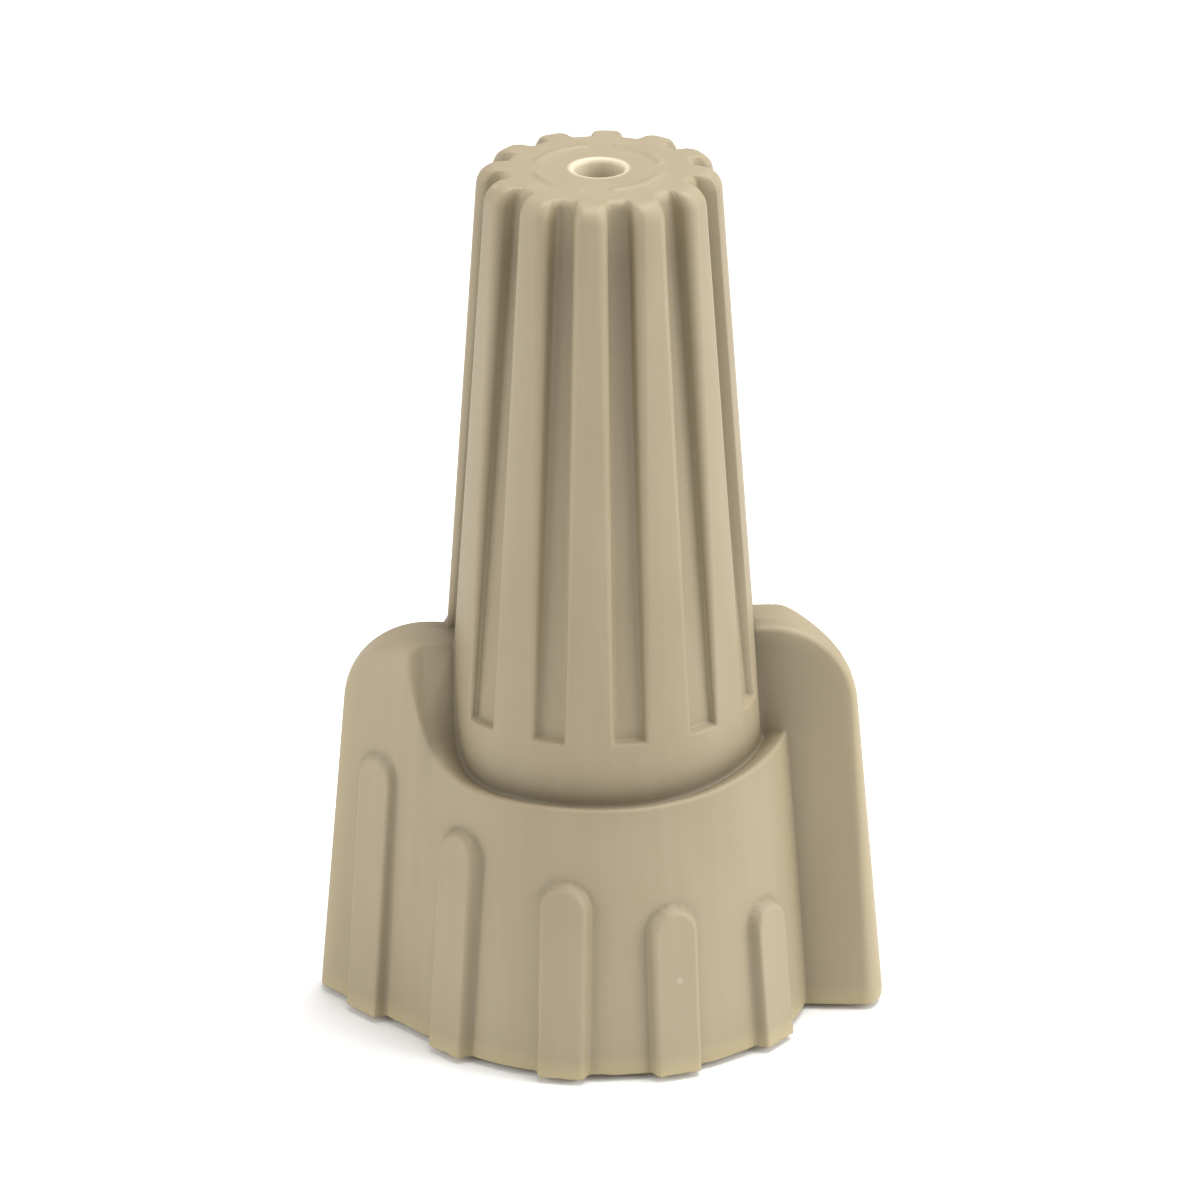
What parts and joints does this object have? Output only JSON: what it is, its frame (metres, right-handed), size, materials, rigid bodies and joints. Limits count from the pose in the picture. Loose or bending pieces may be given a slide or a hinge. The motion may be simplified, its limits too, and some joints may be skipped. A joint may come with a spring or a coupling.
{
  "type": "winged twist-on wire connector",
  "caption": "Twist-on wire connector: tan moulded shell with swept wings, ribbed skirt and fluted cone with a probe hole, holding a conical square-wire spring.",
  "frame": {"origin": "centre of the mouth rim, on the surface that the connector stands on", "axes": "+Z from the mouth up the cone, wings along +X and -X, wires enter along +Z"},
  "size_m": [0.0198, 0.0156, 0.031],
  "materials": {
    "shell_plastic": "satin moulded tan polypropylene",
    "spring_steel": "bright zinc-plated drawn wire"
  },
  "bodies": {
    "root": {"shell": "shell_plastic", "wire_spring": "spring_steel"}
  },
  "joints": []
}
